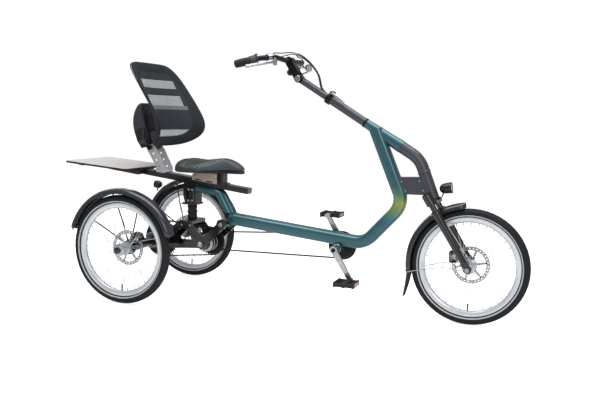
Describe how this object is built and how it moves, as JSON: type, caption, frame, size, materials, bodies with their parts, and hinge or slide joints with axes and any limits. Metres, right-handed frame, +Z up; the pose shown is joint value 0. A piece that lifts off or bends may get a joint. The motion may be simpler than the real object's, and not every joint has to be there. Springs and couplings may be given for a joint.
{
  "type": "adult tricycle",
  "caption": "Semi-recumbent adult tricycle with chain drive to two rear wheels, suspension, saddle with mesh backrest, long steering column and rear luggage plate.",
  "frame": {"origin": "on the ground under the middle of the overall length and width", "axes": "+X forward, +Y to the rider's left, +Z up"},
  "size_m": [2.1537, 0.732, 1.1343],
  "materials": {
    "frame_paint": "satin metallic petrol paint",
    "dark_paint": "satin anthracite paint",
    "black_paint": "satin black paint",
    "fender_plastic": "smooth dark grey",
    "silver_alloy": "brushed and polished",
    "disc_steel": "ground",
    "chain_steel": "oiled",
    "buffer_rubber": "matte",
    "tyre_rubber": "matte with a pale reflective band",
    "black_plastic": "fine grained",
    "grey_plastic": "fine grained",
    "saddle_vinyl": "grained vinyl",
    "back_mesh": "open mesh",
    "plate_grey": "light textured deck",
    "lamp": "black body with clear lens"
  },
  "bodies": {
    "frame": {"main_beam": "frame_paint", "down_tube": "frame_paint", "column_sleeve": "frame_paint", "joint_cover": "dark_paint", "head_tube": "dark_paint", "bearings": "disc_steel", "seat_rail": "black_paint", "seat_stays": "frame_paint", "buffer_post": "black_paint", "rubber_buffer": "buffer_rubber", "subframe": "black_paint", "frame_fasteners": "disc_steel", "front_chain": "chain_steel", "luggage_plate": "plate_grey", "plate_frame": "black_paint"},
    "swing_arm": {"swing_arm": "black_paint", "axle_housing": "black_paint", "rear_chain": "chain_steel", "rear_fenders": "fender_plastic", "rear_lamp": "lamp", "rear_calipers": "black_paint"},
    "right_rear_wheel": {"right_tyre": "tyre_rubber", "right_wheel": "silver_alloy", "right_brake_disc": "disc_steel"},
    "left_rear_wheel": {"left_tyre": "tyre_rubber", "left_wheel": "silver_alloy", "left_brake_disc": "disc_steel"},
    "gear_hub": {"gear_hub": "black_paint"},
    "differential": {"differential": "black_paint"},
    "crankset": {"cranks": "silver_alloy", "chainring": "black_paint"},
    "right_pedal": {"right_pedal": "black_plastic"},
    "left_pedal": {"left_pedal": "black_plastic"},
    "fork": {"fork_crown": "black_paint", "headlamp": "lamp"},
    "fork_sliders": {"fork_sliders": "black_paint", "front_fender": "fender_plastic", "front_caliper": "black_paint"},
    "front_wheel": {"front_tyre": "tyre_rubber", "front_wheel": "silver_alloy", "front_brake_disc": "disc_steel"},
    "column": {"column_tube": "dark_paint", "clamp_collar": "silver_alloy"},
    "clamp_lever": {"clamp_lever": "silver_alloy"},
    "stem_post": {"stem_post": "dark_paint", "cables": "black_plastic"},
    "stem": {"stem": "black_paint", "handlebar": "black_paint", "grips": "buffer_rubber"},
    "gear_shifter": {"gear_shifter": "black_plastic"},
    "right_brake_lever": {"right_brake_lever": "silver_alloy"},
    "left_brake_lever": {"left_brake_lever": "silver_alloy"},
    "seat": {"seat_channel": "black_paint", "saddle_bracket": "silver_alloy", "saddle": "saddle_vinyl", "backrest_bracket": "silver_alloy"},
    "backrest_post": {"backrest_post": "black_paint"},
    "backrest": {"lumbar_housing": "grey_plastic", "backrest_shell": "back_mesh"},
    "height_button": {"height_button": "black_plastic"}
  },
  "joints": [
    {"name": "rear_suspension", "type": "hinge", "parent": "frame", "child": "swing_arm", "pos_m": [-0.39115, 0, 0.252], "axis": [0, 1, 0], "range_deg": [0, 6], "stiffness_Nm_per_rad": 1500, "springref_deg": -5.16, "deforming": ["rubber_buffer"]},
    {"name": "right_rear_wheel_spin", "type": "hinge", "parent": "swing_arm", "child": "right_rear_wheel", "pos_m": [-0.66115, -0.321, 0.246], "axis": [0, 1, 0], "continuous": true},
    {"name": "left_rear_wheel_spin", "type": "hinge", "parent": "swing_arm", "child": "left_rear_wheel", "pos_m": [-0.66115, 0.321, 0.246], "axis": [0, 1, 0], "continuous": true},
    {"name": "crank_spin", "type": "hinge", "parent": "frame", "child": "crankset", "pos_m": [0.25685, 0, 0.28], "axis": [0, 1, 0], "continuous": true},
    {"name": "gear_hub_spin", "type": "hinge", "parent": "frame", "child": "gear_hub", "pos_m": [-0.39115, 0, 0.252], "axis": [0, 1, 0], "continuous": true},
    {"name": "differential_spin", "type": "hinge", "parent": "swing_arm", "child": "differential", "pos_m": [-0.66115, 0.024, 0.246], "axis": [0, 1, 0], "continuous": true},
    {"name": "right_pedal_spin", "type": "hinge", "parent": "crankset", "child": "right_pedal", "pos_m": [0.33634, -0.136, 0.15279], "axis": [0, 1, 0], "continuous": true},
    {"name": "left_pedal_spin", "type": "hinge", "parent": "crankset", "child": "left_pedal", "pos_m": [0.17736, 0.136, 0.40721], "axis": [0, 1, 0], "continuous": true},
    {"name": "fork_steer", "type": "hinge", "parent": "frame", "child": "fork", "pos_m": [0.64753, 0, 0.57543], "axis": [-0.3681, 0, 0.9298], "range_deg": [-35, 35]},
    {"name": "fork_travel", "type": "slide", "parent": "fork", "child": "fork_sliders", "axis": [-0.5225, 0, 0.8526], "range_m": [0, 0.02], "stiffness_N_per_m": 9000, "springref_m": -0.04},
    {"name": "front_wheel_spin", "type": "hinge", "parent": "fork_sliders", "child": "front_wheel", "pos_m": [0.83085, 0, 0.246], "axis": [0, 1, 0], "continuous": true},
    {"name": "column_turn", "type": "hinge", "parent": "frame", "child": "column", "pos_m": [0.34674, 0, 0.84241], "axis": [-0.8554, 0, 0.518], "range_deg": [-35, 35]},
    {"name": "clamp_lever_swing", "type": "hinge", "parent": "column", "child": "clamp_lever", "pos_m": [0.21088, 0, 0.95976], "axis": [0, -1, 0], "range_deg": [0, 110]},
    {"name": "post_slide", "type": "slide", "parent": "column", "child": "stem_post", "axis": [-0.8554, 0, 0.518], "range_m": [-0.008, 0.08]},
    {"name": "stem_tilt", "type": "hinge", "parent": "stem_post", "child": "stem", "pos_m": [0.05335, 0, 1.02009], "axis": [0, 1, 0], "range_deg": [-20, 20], "deforming": ["cables"]},
    {"name": "gear_shifter_twist", "type": "hinge", "parent": "stem", "child": "gear_shifter", "pos_m": [-0.05843, -0.25448, 1.08416], "axis": [-0.7274, -0.6317, -0.268], "range_deg": [-60, 60]},
    {"name": "right_brake_lever_squeeze", "type": "hinge", "parent": "stem", "child": "right_brake_lever", "pos_m": [0.01675, -0.19536, 1.07998], "axis": [0, 0, -1], "range_deg": [0, 9], "stiffness_Nm_per_rad": 4, "springref_deg": -5.73},
    {"name": "left_brake_lever_squeeze", "type": "hinge", "parent": "stem", "child": "left_brake_lever", "pos_m": [0.01675, 0.19536, 1.07998], "axis": [0, 0, 1], "range_deg": [0, 9], "stiffness_Nm_per_rad": 4, "springref_deg": -5.73},
    {"name": "seat_slide", "type": "slide", "parent": "frame", "child": "seat", "axis": [0.993, 0, -0.1184], "range_m": [-0.05, 0.09]},
    {"name": "backrest_recline", "type": "hinge", "parent": "seat", "child": "backrest_post", "pos_m": [-0.68915, 0, 0.692], "axis": [0, -1, 0], "range_deg": [-4, 12]},
    {"name": "backrest_height", "type": "slide", "parent": "backrest_post", "child": "backrest", "axis": [-0.2419, 0, 0.9703], "range_m": [0, 0.06]},
    {"name": "height_button_press", "type": "slide", "parent": "backrest", "child": "height_button", "axis": [0.9703, 0, 0.2419], "range_m": [0, 0.003], "stiffness_N_per_m": 600, "springref_m": -0.002}
  ],
  "couplings": [
    {"joint": "gear_hub_spin", "follows": "crank_spin", "ratio": 1.3333},
    {"joint": "differential_spin", "follows": "crank_spin", "ratio": 1},
    {"joint": "column_turn", "follows": "fork_steer", "ratio": 1}
  ]
}
